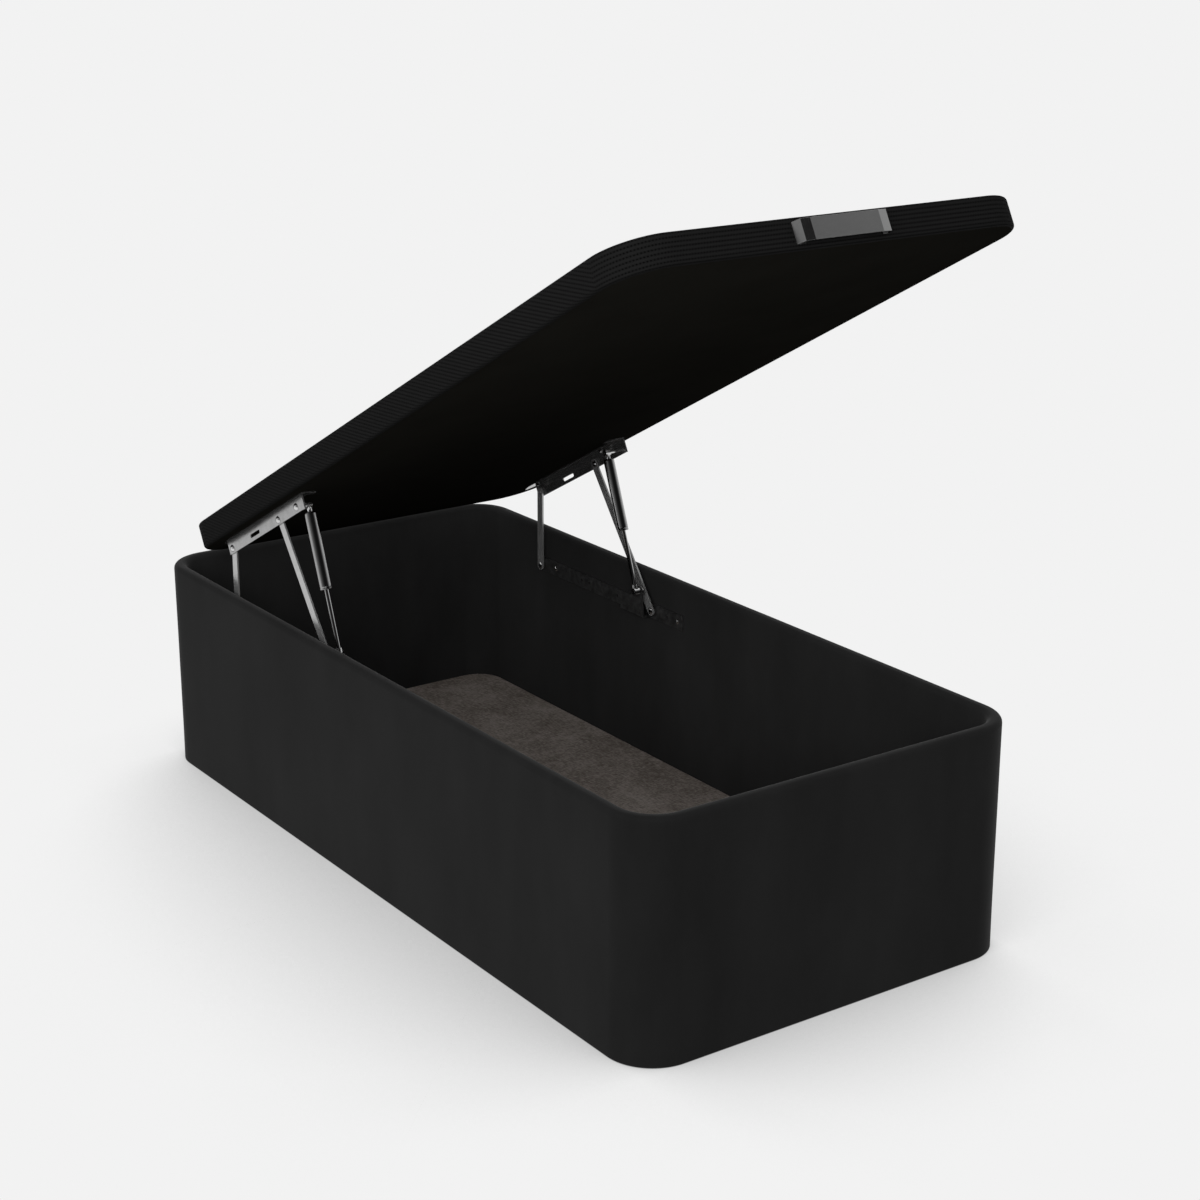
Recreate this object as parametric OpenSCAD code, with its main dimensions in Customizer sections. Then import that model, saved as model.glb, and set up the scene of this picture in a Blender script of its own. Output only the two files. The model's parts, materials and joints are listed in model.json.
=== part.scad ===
// Single bed base whose platform lifts over an open storage box.
// X runs across the bed, -Y is the foot end with the handle, +Z is up.
// The origin lies on the floor under the middle of the box.

/* [Box] */
// Outer width of the box and the platform
base_w = 900; // [800:10:1000]
// Outer length of the box and the platform
base_l = 1905; // [1800:5:2100]
// Height of the box from the floor to the top of its rim
base_h = 480; // [440:5:520]
// Radius of the upright outer corners
corner_r = 98.5; // [90:0.5:110]
// Thickness of the upholstered wall
wall_t = 30; // [28:1:40]
// Rounding of both edges of the rim
rim_r = 12; // [8:0.5:13]
// Thickness of the upholstery cloth
cover_t = 1.5; // [1:0.1:2]
// Thickness of the foam under the cloth
foam_t = 4.5; // [3:0.5:6]
// Height of the pads that the walls stand on
pad_h = 3; // [2:0.5:5]
// Height of the storage floor's top face
floor_z = 33; // [30:1:60]
// Thickness of the storage floor panel
floor_t = 8; // [6:1:12]
// Width of a batten under the storage floor
batten_w = 60; // [40:5:90]

/* [Platform] */
// Thickness of the platform
lid_t = 58; // [50:1:70]
// Rounding of the platform's edges
lid_edge_r = 7; // [4:0.5:9]
// Tilt of the raised platform, in degrees
open_tilt = 27.8; // [20:0.1:30]
// Distance of the raised platform's lower head edge from the box's head face
open_set = 178.3; // [165:0.1:190]
// Height of the raised platform's lower head edge over the rim
open_rise = 49.8; // [40:0.1:60]
// Gap between the rim and the lowered platform
closed_gap = 0.5; // [0.4:0.1:2]
// Thickness of the mesh border round the platform
mesh_t = 2.5; // [2:0.5:3]
// Reach of the border over the top and the underside
hem_w = 14; // [12:1:20]
// Thickness of the board under the platform
underside_t = 3; // [3:0.5:5]
// Width of the platform's frame bars
frame_w = 30; // [25:1:40]
// Height of the platform's frame bars
frame_h = 36; // [30:1:40]
// Thickness of the board on the frame
deck_t = 6; // [4:0.5:9]

/* [Handle] */
// Width of the handle across its two bends
handle_w = 188; // [150:2:240]
// Height of the handle's front plate
handle_h = 39; // [30:1:45]
// Distance that the handle stands out
handle_d = 19; // [17:0.5:22]
// Thickness of the handle's steel
handle_t = 2.5; // [2:0.5:4]
// Outward spread of each leg towards the platform
handle_flare = 7.5; // [4:0.5:10]
// Width of the slanted part at each end of the plate
handle_slant = 19; // [14:1:24]
// Fall of the slanted part towards the bend
handle_fall = 2.5; // [1:0.5:4]
// Width of each foot behind the handle
handle_foot_w = 16; // [14:1:20]

/* [Lift linkage] */
// Thickness of the rail and the brackets
plate_t = 3; // [2.5:0.5:4]
// Distance from the wall's inner face to the bracket
bracket_off = 7.5; // [7:0.5:9]
// Height of the bracket's upright flange
flange_h = 34.5; // [32:0.5:38]
// Distance from the wall's inner face to the lying flange's inner edge
lip_off = 32; // [28:1:34]
// Distance from the wall's inner face to the tip of the bracket's end tab
tab_off = 50; // [40:1:54]
// Tip of the bracket, from the platform's head edge
bracket_s0 = 88; // [80:1:110]
// Start of the upright flange, from the head edge
flange_s0 = 120; // [110:1:124]
// End of the bracket, from the head edge
flange_s1 = 530; // [524:1:540]
// Length of the bracket's end tab
tab_l = 24; // [16:1:30]
// Middle of the slot, from the head edge
slot_s = 268; // [240:1:300]
// Middle of the slot, from the underside
slot_h = -23; // [-26:0.5:-20]
// Length of the slot
slot_l = 50; // [30:1:60]
// Width of the slot
slot_w = 8; // [6:0.5:10]
// Rear pivot on the platform, from the head edge
rear_s = 138; // [132:0.5:144]
// Rear pivot on the platform, from the underside
rear_h = -23.5; // [-25:0.5:-22]
// Front pivot on the platform, from the head edge
front_s = 395; // [388:0.5:400]
// Front pivot on the platform, from the underside
front_h = -24; // [-25:0.5:-22]
// Depth of the rear pivot on the rail under the rim
rear_drop = 91.5; // [88:0.5:95]
// Depth of the front pivot on the rail under the rim
front_drop = 86; // [82:0.5:90]
// Width of the arms
arm_w = 21.5; // [19:0.5:23]
// Thickness of the arms
arm_t = 4; // [3:0.5:5]
// Gap between an arm and the flange
arm_gap = 1; // [0.6:0.1:1.5]
// Radius of the pivot pins
pivot_r = 4; // [3.5:0.5:5]
// Running clearance round pins, rods and pistons
run_gap = 0.05; // [0.03:0.01:0.08]
// Height of the rail
rail_h = 35; // [32:1:40]
// Depth of the rail's middle under the rim
rail_drop = 90; // [88:1:92]
// Reach of the rail past the front pivot
rail_nose = 105; // [90:1:120]
// Reach of the rail past the rear pivot
rail_tail = 19; // [15:1:40]

/* [Gas strut] */
// Distance from the wall's inner face to the strut's axis
strut_off = 37; // [36:0.5:39]
// Distance of the strut's lower ball from the box's head face
ball_set = 737.5; // [730:0.5:740]
// Depth of the strut's lower ball under the rim
ball_drop = 42; // [38:0.5:46]
// Strut's upper eye, from the head edge
eye_s = 492; // [488:0.5:498]
// Strut's upper eye, from the underside
eye_h = -21; // [-23:0.5:-20]
// Radius of the strut's tube
tube_r = 12.5; // [11:0.5:13]
// Length of the strut's tube
tube_l = 167; // [160:1:170]
// Radius of the strut's rod
rod_r = 5; // [4:0.5:5]
// Length of the strut's rod from the lower ball
rod_l = 196; // [190:1:200]
// Radius of the ball
ball_r = 5; // [4:0.5:5.5]
// Radius of the ball's socket
socket_r = 8.5; // [8:0.5:9]

/* [Hidden] */

half_w = base_w / 2;
half_l = base_l / 2;
inner_x = half_w - wall_t;
open_y = half_l - open_set;
open_z = base_h + open_rise;
board_t = wall_t - 2 * (cover_t + foam_t);
board_u = cover_t + foam_t;
board_top = base_h - cover_t - foam_t;
cover_z0 = pad_h / 2;
fit = 0.5;
cut = 1;
arc_fn = 96;
pin_fn = 48;
eps = 0.01;

// Plan layers of the linkage, measured from the middle of the bed
flange_x1 = inner_x - bracket_off;
flange_x0 = flange_x1 - plate_t;
arm_x1 = flange_x0 - arm_gap;
arm_x0 = arm_x1 - arm_t;
head_t = 2.2;
head_r = 8;
rivet_t = 4.4;
bush_r = 8;
hole_r = pivot_r + run_gap;
rail_x0 = inner_x - plate_t;

// Raised and lowered places of a point on the platform, as [y, z]
function raised(s, h) = [open_y - s * cos(open_tilt) + h * sin(open_tilt),
                         open_z + s * sin(open_tilt) + h * cos(open_tilt)];
function lowered(s, h) = [half_l - s, base_h + closed_gap + h];
// A fixed pivot at height z is as far from the raised place as from the lowered one
function pivot_y(a, b, z) = (pow(b[0], 2) - pow(a[0], 2) - pow(a[1] - z, 2) + pow(b[1] - z, 2))
                            / (2 * (b[0] - a[0]));
function swing(a, b) = atan2(b[1] - a[1], b[0] - a[0]);
function span(a, b) = norm(b - a);
function rail_place(share) = [rail_y0 + share * (rail_y1 - rail_y0), rail_z];

rear_top = raised(rear_s, rear_h);
front_top = raised(front_s, front_h);
rear_z = base_h - rear_drop;
front_z = base_h - front_drop;
rear_foot = [pivot_y(rear_top, lowered(rear_s, rear_h), rear_z), rear_z];
front_foot = [pivot_y(front_top, lowered(front_s, front_h), front_z), front_z];
strut_x = inner_x - strut_off;
ball = [half_l - ball_set, base_h - ball_drop];
eye = raised(eye_s, eye_h);
strut_len = span(ball, eye);
strut_angle = swing(ball, eye);

// Distances along the strut, from the lower ball
eye_neck = 15;
eye_neck_r = 5;
eye_r = 6.5;
socket_l = 16;
tube_end = strut_len - eye_neck;
tube_start = tube_end - tube_l;
tube_wall = 2;
gland_t = 12;
cap_t = 6;
piston_t = 10;
neck_r = 3.5;
eye_pin_r = 4;
eye_pin_gap = 0.5;
socket_t = 14;
ball_gap = 0.1;
ball_mouth_r = 4.4;

// Rail, with its screws and spare holes as shares of its length from the foot end
rail_z = base_h - rail_drop;
rail_y0 = front_foot[0] - rail_nose;
rail_y1 = rear_foot[0] + rail_tail;
rail_screw_shares = [0.88, 0.033];
rail_hole_shares = [0.69, 0.637, 0.438, 0.36, 0.1];

// Strut ear on the rail
ear_off = 9.5;
ear_x0 = strut_x + ear_off;
ear_x1 = ear_x0 + plate_t;
ear_low = 12;
ear_z0 = rail_z - ear_low;
ear_front = 15;
ear_back = 75;
ear_y0 = ball[0] - ear_front;
ear_y1 = ball[0] + ear_back;
ear_r = 11;
nut_t = 4.5;
nut_r = 7;
stud_out = 1;

rail_hole_r = 3.5;
screw_r = 3;
screw_head_r = 6;
screw_head_t = 3;
handle_head_r = 4.5;
handle_screw_in = 10.7;
handle_screw_x = handle_w / 2 + handle_flare - handle_screw_in;

// Bolts that hold the bracket to the platform
lid_bolt_s = [152, 450];
lid_bolt_off = 23.5;
lid_bolt_x = inner_x - lid_bolt_off;
lid_bolt_af = 10;
lid_bolt_t = 6;
lid_bolt_r = 3;
lid_bolt_out = 11.5;

lid_deck_z = underside_t + frame_h;
lid_foam_z = lid_deck_z + deck_t;
lid_top_t = 2.5;
foam_inset = 8;
bar_s = [380, 760, 1140, 1520];

ink = [0.09, 0.09, 0.09];
mesh_black = [0.13, 0.13, 0.13];
satin = [0.62, 0.62, 0.63];
bright = [0.8, 0.8, 0.8];

// Rounded rectangle in plan, inset by u from the outer faces
module plan(u) {
    x = half_w - u;
    y = half_l - u;
    r = corner_r - u;
    square([2 * (x - r), 2 * y], center = true);
    square([2 * x, 2 * (y - r)], center = true);
    for (i = [-1, 1], j = [-1, 1])
        translate([i * (x - r), j * (y - r)]) circle(r = r, $fn = arc_fn);
}

// A wall section, with x measured inward from the outer face, swept round the plan
module swept() {
    cx = half_w - corner_r;
    cy = half_l - corner_r;
    for (k = [0 : 3]) {
        i = (k == 0 || k == 3) ? 1 : -1;
        j = k < 2 ? 1 : -1;
        translate([i * cx, j * cy, 0]) rotate([0, 0, 90 * k]) bend() children();
        run = (k % 2 == 0) ? 2 * cx : 2 * cy;
        translate([i * cx, j * cy, 0]) rotate([0, 0, 90 * k + 90]) rotate([90, 0, 0])
            translate([0, 0, -run]) linear_extrude(run)
                translate([corner_r, 0]) mirror([1, 0]) children();
    }
}

module bend() {
    rotate_extrude(angle = 90, $fn = arc_fn) translate([corner_r, 0]) mirror([1, 0]) children();
}

// Section with two rounded upper corners, from u0 to u1 and from z0 to z1
module rounded_top(u0, u1, z0, z1, r) {
    translate([u0, z0]) square([u1 - u0, z1 - z0 - r]);
    translate([u0 + r, z0]) square([u1 - u0 - 2 * r, z1 - z0]);
    for (u = [u0 + r, u1 - r]) translate([u, z1 - r]) circle(r = r, $fn = arc_fn);
}

// Plate in a YZ plane, from x0 to x0 + t
module yz_plate(x0, t) {
    translate([x0, 0, 0]) rotate([90, 0, 90]) linear_extrude(t) children();
}

module x_rod(x0, x1, p, r) {
    translate([x0, p[0], p[1]]) rotate([0, 90, 0]) cylinder(h = x1 - x0, r = r, $fn = pin_fn);
}

// Domed head whose flat face lies at x, pointing along dir
module dome(x, p, dir, r, t) {
    big = (r * r + t * t) / (2 * t);
    translate([x, p[0], p[1]]) rotate([0, 90 * dir, 0]) rotate_extrude($fn = pin_fn)
        intersection() {
            translate([0, t - big]) circle(r = big, $fn = 2 * arc_fn);
            square([r, t]);
        }
}

module hex_nut(x0, x1, p, r) {
    translate([x0, p[0], p[1]]) rotate([0, 90, 0]) cylinder(h = x1 - x0, r = r, $fn = 6);
}

module side(k) {
    if (k > 0) children();
    else mirror([1, 0, 0]) children();
}

// The platform's own frame: X across, -Y from its head edge to its foot, Z up from its underside
module on_lid() {
    translate([0, open_y, open_z]) rotate([-open_tilt, 0, 0]) children();
}

// The strut's own frame: Z from the lower ball to the upper eye
module on_strut() {
    translate([strut_x, ball[0], ball[1]]) rotate([strut_angle - 90, 0, 0]) children();
}

module base_cover() {
    color(ink) swept() difference() {
        rounded_top(0, wall_t, cover_z0, base_h, rim_r);
        rounded_top(cover_t, wall_t - cover_t, 0, base_h - cover_t, rim_r - cover_t);
    }
}

module base_foam() {
    color("dimgray") swept() difference() {
        rounded_top(cover_t, wall_t - cover_t, pad_h, base_h - cover_t, rim_r - cover_t);
        translate([board_u, 0]) square([board_t, board_top]);
    }
}

module side_board(k) {
    run = base_l - 2 * corner_r;
    color("burlywood") translate([k > 0 ? half_w - board_u - board_t : board_u - half_w, -run / 2, pad_h])
        cube([board_t, run, board_top - pad_h]);
}

module end_board(k) {
    run = base_w - 2 * corner_r;
    color("burlywood") translate([-run / 2, k > 0 ? half_l - board_u - board_t : board_u - half_l, pad_h])
        cube([run, board_t, board_top - pad_h]);
}

module corner_board(i, j) {
    turn = i > 0 ? (j > 0 ? 0 : 270) : (j > 0 ? 90 : 180);
    color("burlywood") translate([i * (half_w - corner_r), j * (half_l - corner_r), 0])
        rotate([0, 0, turn]) bend()
            translate([board_u, pad_h]) square([board_t, board_top - pad_h]);
}

module floor_panel() {
    color([0.36, 0.33, 0.3]) translate([0, 0, floor_z - floor_t])
        linear_extrude(floor_t) plan(wall_t + fit);
}

module floor_batten(n) {
    y = (n - 2.5) * base_l / 4.6;
    color("burlywood") translate([fit - inner_x, y - batten_w / 2, pad_h])
        cube([2 * (inner_x - fit), batten_w, floor_z - floor_t - pad_h]);
}

module foot_pads() {
    long = 60;
    color("gray") {
        for (k = [-1, 1], y = [-0.38, 0, 0.38])
            translate([k * (half_w - wall_t / 2) - board_t / 2, y * base_l - long / 2, 0])
                cube([board_t, long, pad_h]);
        for (k = [-1, 1], x = [-0.3, 0.3])
            translate([x * base_w - long / 2, k * (half_l - wall_t / 2) - board_t / 2, 0])
                cube([long, board_t, pad_h]);
        for (n = [1 : 4])
            translate([-long / 2, (n - 2.5) * base_l / 4.6 - board_t / 2, 0])
                cube([long, board_t, pad_h]);
    }
}

module rail(k) {
    color(satin) side(k) yz_plate(rail_x0, plate_t) difference() {
        translate([rail_y0, rail_z - rail_h / 2]) square([rail_y1 - rail_y0, rail_h]);
        for (k = rail_hole_shares) translate(rail_place(k)) circle(r = rail_hole_r, $fn = pin_fn);
        for (k = rail_screw_shares) translate(rail_place(k))
            circle(r = screw_r + run_gap, $fn = pin_fn);
    }
}

module rail_screws(k) {
    color(bright) side(k) for (share = rail_screw_shares) {
        x_rod(rail_x0 - eps, inner_x, rail_place(share), screw_r);
        dome(rail_x0, rail_place(share), -1, screw_head_r, screw_head_t);
    }
}

// Bent ear that carries the lower ball inboard of the arm
module strut_ear(k) {
    lean = swing([ear_y1, ear_z0], ball) - 90;
    color(satin) side(k) {
        yz_plate(ear_x0, plate_t) difference() {
            union() {
                translate(ball) circle(r = ear_r, $fn = pin_fn);
                polygon([[ear_y0, ear_z0], [ear_y1, ear_z0], [ear_y1, ear_z0 + 2 * plate_t],
                    ball + ear_r * [cos(lean), sin(lean)],
                    ball - ear_r * [cos(lean), sin(lean)],
                    [ear_y0, ear_z0 + 2 * plate_t]]);
            }
            translate(ball) circle(r = neck_r + run_gap, $fn = pin_fn);
        }
        translate([ear_x0, ear_y0, ear_z0]) cube([rail_x0 - ear_x0, ear_y1 - ear_y0, plate_t]);
    }
}

module ball_stud(k) {
    color(bright) side(k) {
        on_ball() rotate_extrude($fn = pin_fn) intersection() {
            union() {
                circle(r = ball_r, $fn = arc_fn);
                square([neck_r, ear_x1 + nut_t + stud_out - strut_x]);
            }
            translate([0, -ball_r]) square([ball_r, 2 * ball_r + ear_x1 + nut_t - strut_x]);
        }
        hex_nut(ear_x1, ear_x1 + nut_t, ball, nut_r);
    }
}

// The ball's own frame: Z outward along its stud
module on_ball() {
    translate([strut_x, ball[0], ball[1]]) rotate([0, 90, 0]) children();
}

// Bushes on the rail, with the pins that the arms turn on
module base_pivots(k) {
    color(bright) side(k) for (p = [rear_foot, front_foot]) {
        x_rod(arm_x1 + run_gap, rail_x0, p, bush_r);
        x_rod(arm_x0 - 2 * run_gap, arm_x1 + pivot_r, p, pivot_r);
        dome(arm_x0 - run_gap, p, -1, head_r, head_t);
    }
}

module arm(p0, p1, top_hole) {
    yz_plate(arm_x0, arm_t) difference() {
        translate(p0) rotate(swing(p0, p1)) {
            translate([0, -arm_w / 2]) square([span(p0, p1), arm_w]);
            circle(r = arm_w / 2, $fn = pin_fn);
            translate([span(p0, p1), 0]) circle(r = arm_w / 2, $fn = pin_fn);
        }
        translate(p0) circle(r = hole_r, $fn = pin_fn);
        if (top_hole) translate(p1) circle(r = hole_r, $fn = pin_fn);
    }
}

module rear_arm(k) {
    color(satin) side(k) {
        arm(rear_foot, rear_top, false);
        dome(arm_x0, rear_top, -1, head_r, head_t);
    }
}

module front_arm(k) {
    color(satin) side(k) arm(front_foot, front_top, true);
}

module strut_rod(k) {
    color(bright) side(k) on_strut() {
        translate([0, 0, socket_r + fit]) cylinder(h = rod_l - socket_r - fit, r = rod_r, $fn = pin_fn);
        translate([0, 0, rod_l - piston_t])
            cylinder(h = piston_t, r = tube_r - tube_wall - run_gap, $fn = pin_fn);
    }
}

module ball_socket(k) {
    color("dimgray") side(k) {
        difference() {
            union() {
                x_rod(strut_x - socket_t / 2, strut_x + socket_t / 2, ball, socket_r);
                on_strut() cylinder(h = socket_l, r = rod_r + tube_wall, $fn = pin_fn);
            }
            on_ball() rotate_extrude($fn = pin_fn) intersection() {
                union() {
                    circle(r = ball_r + ball_gap, $fn = arc_fn);
                    square([ball_mouth_r, socket_t]);
                }
                translate([0, -socket_t]) square([socket_t, 2 * socket_t]);
            }
            on_strut() translate([0, 0, socket_r + fit])
                cylinder(h = rod_l, r = rod_r, $fn = pin_fn);
        }
    }
}

module strut_tube(k) {
    color("black") side(k) on_strut() difference() {
        translate([0, 0, tube_start]) cylinder(h = tube_l, r = tube_r, $fn = pin_fn);
        translate([0, 0, tube_start + gland_t])
            cylinder(h = tube_l - gland_t - cap_t, r = tube_r - tube_wall, $fn = pin_fn);
        translate([0, 0, tube_start - cut])
            cylinder(h = gland_t + 2 * cut, r = rod_r + run_gap, $fn = pin_fn);
    }
}

// Upper eye of the strut, whose pin meets the flange
module strut_eye(k) {
    color("dimgray") side(k) {
        x_rod(strut_x - socket_t / 2, strut_x + socket_t / 2, eye, eye_r);
        x_rod(strut_x, flange_x0 - eye_pin_gap, eye, eye_pin_r);
        on_strut() translate([0, 0, tube_end]) cylinder(h = eye_neck, r = eye_neck_r, $fn = pin_fn);
    }
}

// Plan of the bracket's lying flange, pointed at the head end and tabbed at the foot end
module lip() {
    lip_x = inner_x - lip_off;
    tab_x = inner_x - tab_off;
    polygon([[flange_x1, -flange_s0], [flange_x1 - 3 * plate_t, -bracket_s0],
        [flange_x1 - 5 * plate_t, -bracket_s0], [lip_x, -flange_s0], [lip_x, tab_l - flange_s1],
        [tab_x, tab_l - flange_s1], [tab_x, tab_l / 2 - flange_s1],
        [lip_x + plate_t, -flange_s1], [flange_x1, -flange_s1]]);
}

module lid_bracket(k) {
    color(satin) side(k) on_lid() {
        yz_plate(flange_x0, plate_t) difference() {
            translate([-flange_s1, -flange_h]) square([flange_s1 - flange_s0, flange_h]);
            translate([-front_s, front_h]) circle(r = hole_r, $fn = pin_fn);
            translate([-slot_s, slot_h]) {
                square([slot_l - slot_w, slot_w], center = true);
                for (i = [-1, 1]) translate([i * (slot_l - slot_w) / 2, 0])
                    circle(r = slot_w / 2, $fn = pin_fn);
            }
        }
        difference() {
            translate([0, 0, -plate_t]) linear_extrude(plate_t) lip();
            for (s = lid_bolt_s) translate([lid_bolt_x, -s, -2 * plate_t])
                cylinder(h = 3 * plate_t, r = lid_bolt_r + run_gap, $fn = pin_fn);
        }
    }
}

// Nuts and bolt ends under the lying flange
module lid_bolts(k) {
    color(bright) side(k) on_lid() for (s = lid_bolt_s) translate([lid_bolt_x, -s, 0]) {
        translate([0, 0, -plate_t - lid_bolt_out + plate_t])
            cylinder(h = lid_bolt_out, r = lid_bolt_r, $fn = pin_fn);
        translate([0, 0, -plate_t - lid_bolt_t]) rotate([0, 0, 30])
            cylinder(h = lid_bolt_t, r = lid_bolt_af / sqrt(3), $fn = 6);
    }
}

// Front pivot pins and the rivet heads on the flange's outer face
module lid_rivets(k) {
    color(bright) side(k) on_lid() {
        for (p = [[-rear_s, rear_h], [-front_s, front_h], [-eye_s, eye_h]])
            dome(flange_x1, p, 1, head_r, rivet_t);
        x_rod(arm_x0 - 2 * run_gap, flange_x1 + eps, [-front_s, front_h], pivot_r);
        dome(arm_x0 - run_gap, [-front_s, front_h], -1, head_r, head_t);
    }
}

module lid_ring() {
    translate([0, -half_l, 0]) swept() children();
}

module lid_frame() {
    color("burlywood") on_lid() lid_ring()
        translate([mesh_t + fit, underside_t]) square([frame_w, frame_h]);
}

module lid_crossbars() {
    reach = half_w - mesh_t - fit - frame_w;
    color("burlywood") on_lid() for (s = bar_s)
        translate([-reach, -s - frame_w / 2, underside_t]) cube([2 * reach, frame_w, frame_h]);
}

module lid_deck() {
    color("burlywood") on_lid() translate([0, -half_l, lid_deck_z])
        linear_extrude(deck_t) plan(mesh_t + fit);
}

module lid_foam() {
    color("gray") on_lid() translate([0, -half_l, lid_foam_z])
        linear_extrude(lid_t - lid_top_t - lid_foam_z) plan(foam_inset);
}

module lid_top() {
    color(ink) on_lid() translate([0, -half_l, lid_t - lid_top_t])
        linear_extrude(lid_top_t) plan(hem_w);
}

module lid_underside() {
    color(ink) on_lid() translate([0, -half_l, 0]) linear_extrude(underside_t) plan(hem_w);
}

module lid_border() {
    color(mesh_black) on_lid() lid_ring() difference() {
        union() {
            translate([0, lid_edge_r]) square([hem_w, lid_t - 2 * lid_edge_r]);
            translate([lid_edge_r, 0]) square([hem_w - lid_edge_r, lid_t]);
            for (z = [lid_edge_r, lid_t - lid_edge_r])
                translate([lid_edge_r, z]) circle(r = lid_edge_r, $fn = arc_fn);
        }
        translate([mesh_t, underside_t]) square([hem_w, lid_foam_z - underside_t]);
        translate([foam_inset, lid_foam_z - eps])
            square([hem_w, lid_t - lid_top_t - lid_foam_z + eps]);
    }
}

// Inward side of a bent sheet's outer line, and the inner point at one of its bends
function inward(a, b) = let(u = (b - a) / norm(b - a)) [u[1], -u[0]];
function inner_bend(a, b, c, t) = let(m = inward(a, b), n = inward(b, c)) b + t * (m + n) / (1 + m * n);

// The handle's plan section: x across, y out from the platform's foot face
module handle_section() {
    x = handle_w / 2;
    root = [x + handle_flare, 0];
    bend = [x, handle_d - handle_fall];
    edge = [x - handle_slant, handle_d];
    across = handle_t * norm(bend - root) / bend[1];
    lean = handle_flare * handle_t / bend[1];
    half = [edge, bend, root, root - [handle_foot_w, 0], root - [handle_foot_w, -handle_t],
        root - [across + lean, -handle_t], inner_bend(edge, bend, root, handle_t),
        inner_bend([0, handle_d], edge, bend, handle_t)];
    polygon(concat(half, [for (i = [len(half) - 1 : -1 : 0]) [-half[i][0], half[i][1]]]));
}

module on_foot_face() {
    translate([0, -base_l, (lid_t - handle_h) / 2]) children();
}

module handle() {
    color(satin) on_lid() on_foot_face() difference() {
        mirror([0, 1, 0]) linear_extrude(handle_h) handle_section();
        for (i = [-1, 1], z = [0.25, 0.75])
            translate([i * handle_screw_x, cut, z * handle_h]) rotate([90, 0, 0])
                cylinder(h = handle_t + 2 * cut, r = screw_r + run_gap, $fn = pin_fn);
    }
}

module handle_screws() {
    color(bright) on_lid() on_foot_face() for (i = [-1, 1], z = [0.25, 0.75])
        translate([i * handle_screw_x, 0, z * handle_h]) rotate([90, 0, 0]) {
            cylinder(h = handle_t, r = screw_r, $fn = pin_fn);
            translate([0, 0, handle_t])
                cylinder(h = screw_head_t, r = handle_head_r, $fn = pin_fn);
        }
}

base_cover();
base_foam();
side_board(-1);  // side_board_left
side_board(1);  // side_board_right
end_board(-1);  // foot_board
end_board(1);  // head_board
corner_board(-1, -1);  // corner_board_foot_left
corner_board(1, -1);  // corner_board_foot_right
corner_board(-1, 1);  // corner_board_head_left
corner_board(1, 1);  // corner_board_head_right
floor_panel();
floor_batten(1);  // floor_batten_1
floor_batten(2);  // floor_batten_2
floor_batten(3);  // floor_batten_3
floor_batten(4);  // floor_batten_4
foot_pads();
rail(-1);  // rail_left
rail(1);  // rail_right
rail_screws(-1);  // rail_screws_left
rail_screws(1);  // rail_screws_right
strut_ear(-1);  // strut_ear_left
strut_ear(1);  // strut_ear_right
ball_stud(-1);  // ball_stud_left
ball_stud(1);  // ball_stud_right
base_pivots(-1);  // base_pivots_left
base_pivots(1);  // base_pivots_right
rear_arm(-1);  // rear_arm_left
rear_arm(1);  // rear_arm_right
front_arm(-1);  // front_arm_left
front_arm(1);  // front_arm_right
strut_rod(-1);  // strut_rod_left
strut_rod(1);  // strut_rod_right
ball_socket(-1);  // ball_socket_left
ball_socket(1);  // ball_socket_right
strut_tube(-1);  // strut_tube_left
strut_tube(1);  // strut_tube_right
strut_eye(-1);  // strut_eye_left
strut_eye(1);  // strut_eye_right
lid_bracket(-1);  // lid_bracket_left
lid_bracket(1);  // lid_bracket_right
lid_bolts(-1);  // lid_bolts_left
lid_bolts(1);  // lid_bolts_right
lid_rivets(-1);  // lid_rivets_left
lid_rivets(1);  // lid_rivets_right
lid_frame();
lid_crossbars();
lid_deck();
lid_foam();
lid_top();
lid_underside();
lid_border();
handle();
handle_screws();
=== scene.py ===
# Storage bed base with its platform lifted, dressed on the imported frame
import json
import math

import bmesh
import bpy
from mathutils import Matrix, Vector, noise

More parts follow.
